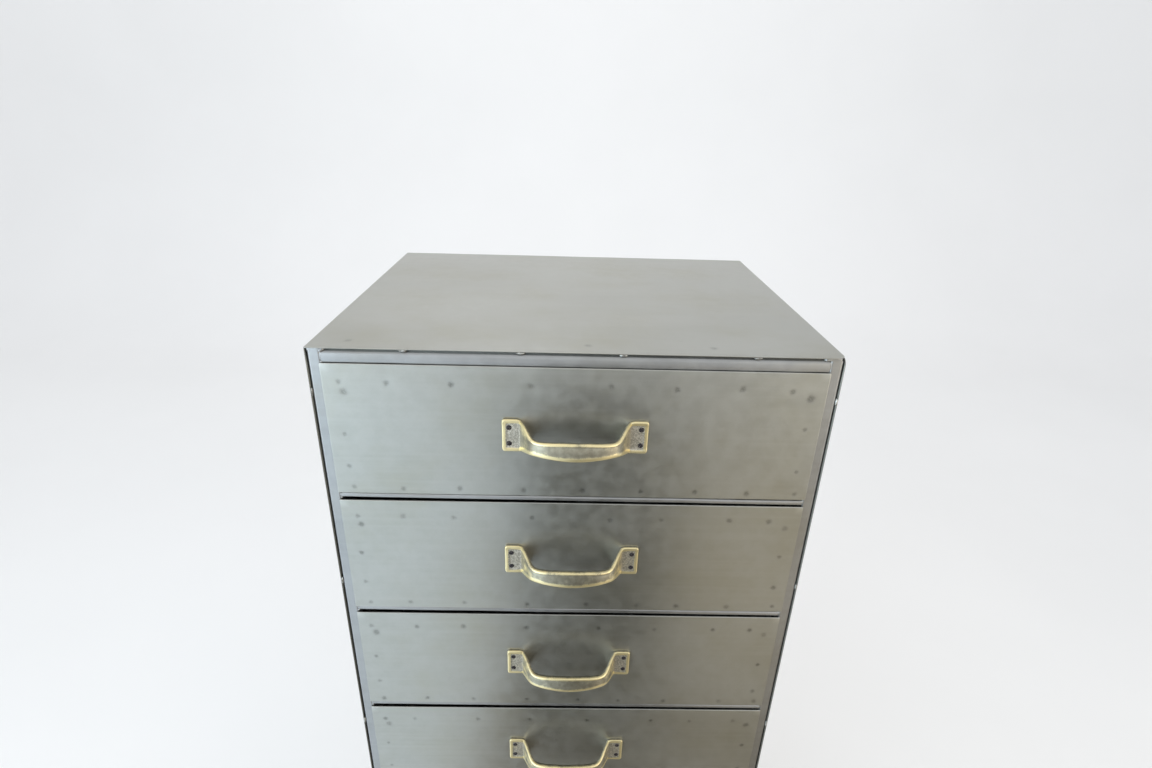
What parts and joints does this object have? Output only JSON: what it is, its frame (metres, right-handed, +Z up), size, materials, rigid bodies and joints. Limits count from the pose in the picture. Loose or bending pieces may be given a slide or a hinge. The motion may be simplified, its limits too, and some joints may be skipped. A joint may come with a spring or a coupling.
{
  "type": "card catalog cabinet",
  "caption": "Tall steel storage cabinet: welded tube frame with thin sheet skins and a column of full-width sliding drawers with brass bow handles.",
  "frame": {"origin": "on the floor under the middle of the whole object, handles included", "axes": "+Z up, drawers open towards -Y, +X to the right of a person facing the drawers"},
  "size_m": [0.5, 0.4365, 1.29],
  "materials": {
    "skin_steel": "mottled zinc-grey sheet, satin",
    "frame_steel": "zinc-grey tube, satin, ground at the welds",
    "inner_steel": "plain folded sheet, satin",
    "weld_metal": "bright weld beads",
    "antique_brass": "antique brass, worn bright at the edges",
    "dark_screws": "blackened",
    "black_plastic": "matte moulded"
  },
  "bodies": {
    "cabinet": {"post_front_left": "frame_steel", "post_front_right": "frame_steel", "post_rear_left": "frame_steel", "post_rear_right": "frame_steel", "top_rail_front": "frame_steel", "top_rail_rear": "frame_steel", "top_rail_left": "frame_steel", "top_rail_right": "frame_steel", "bottom_rail_front": "frame_steel", "bottom_rail_rear": "frame_steel", "bottom_rail_left": "frame_steel", "bottom_rail_right": "frame_steel", "divider_rail_1": "frame_steel", "divider_rail_2": "frame_steel", "divider_rail_3": "frame_steel", "divider_rail_4": "frame_steel", "divider_rail_5": "frame_steel", "divider_rail_6": "frame_steel", "divider_rail_7": "frame_steel", "top_panel": "skin_steel", "left_side_panel": "skin_steel", "right_side_panel": "skin_steel", "back_panel": "skin_steel", "bottom_panel": "skin_steel", "left_runners": "inner_steel", "right_runners": "inner_steel", "foot_glides": "black_plastic", "weld_beads": "weld_metal"},
    "drawer_1": {"drawer_1_front": "skin_steel", "drawer_1_tray": "inner_steel", "drawer_1_handle": "antique_brass", "drawer_1_fasteners": "dark_screws"},
    "drawer_2": {"drawer_2_front": "skin_steel", "drawer_2_tray": "inner_steel", "drawer_2_handle": "antique_brass", "drawer_2_fasteners": "dark_screws"},
    "drawer_3": {"drawer_3_front": "skin_steel", "drawer_3_tray": "inner_steel", "drawer_3_handle": "antique_brass", "drawer_3_fasteners": "dark_screws"},
    "drawer_4": {"drawer_4_front": "skin_steel", "drawer_4_tray": "inner_steel", "drawer_4_handle": "antique_brass", "drawer_4_fasteners": "dark_screws"},
    "drawer_5": {"drawer_5_front": "skin_steel", "drawer_5_tray": "inner_steel", "drawer_5_handle": "antique_brass", "drawer_5_fasteners": "dark_screws"},
    "drawer_6": {"drawer_6_front": "skin_steel", "drawer_6_tray": "inner_steel", "drawer_6_handle": "antique_brass", "drawer_6_fasteners": "dark_screws"},
    "drawer_7": {"drawer_7_front": "skin_steel", "drawer_7_tray": "inner_steel", "drawer_7_handle": "antique_brass", "drawer_7_fasteners": "dark_screws"},
    "drawer_8": {"drawer_8_front": "skin_steel", "drawer_8_tray": "inner_steel", "drawer_8_handle": "antique_brass", "drawer_8_fasteners": "dark_screws"}
  },
  "joints": [
    {"name": "drawer_1_slide", "type": "slide", "parent": "cabinet", "child": "drawer_1", "axis": [0, -1, 0], "range_m": [0, 0.3]},
    {"name": "drawer_2_slide", "type": "slide", "parent": "cabinet", "child": "drawer_2", "axis": [0, -1, 0], "range_m": [0, 0.3]},
    {"name": "drawer_3_slide", "type": "slide", "parent": "cabinet", "child": "drawer_3", "axis": [0, -1, 0], "range_m": [0, 0.3]},
    {"name": "drawer_4_slide", "type": "slide", "parent": "cabinet", "child": "drawer_4", "axis": [0, -1, 0], "range_m": [0, 0.3]},
    {"name": "drawer_5_slide", "type": "slide", "parent": "cabinet", "child": "drawer_5", "axis": [0, -1, 0], "range_m": [0, 0.3]},
    {"name": "drawer_6_slide", "type": "slide", "parent": "cabinet", "child": "drawer_6", "axis": [0, -1, 0], "range_m": [0, 0.3]},
    {"name": "drawer_7_slide", "type": "slide", "parent": "cabinet", "child": "drawer_7", "axis": [0, -1, 0], "range_m": [0, 0.3]},
    {"name": "drawer_8_slide", "type": "slide", "parent": "cabinet", "child": "drawer_8", "axis": [0, -1, 0], "range_m": [0, 0.3]}
  ]
}
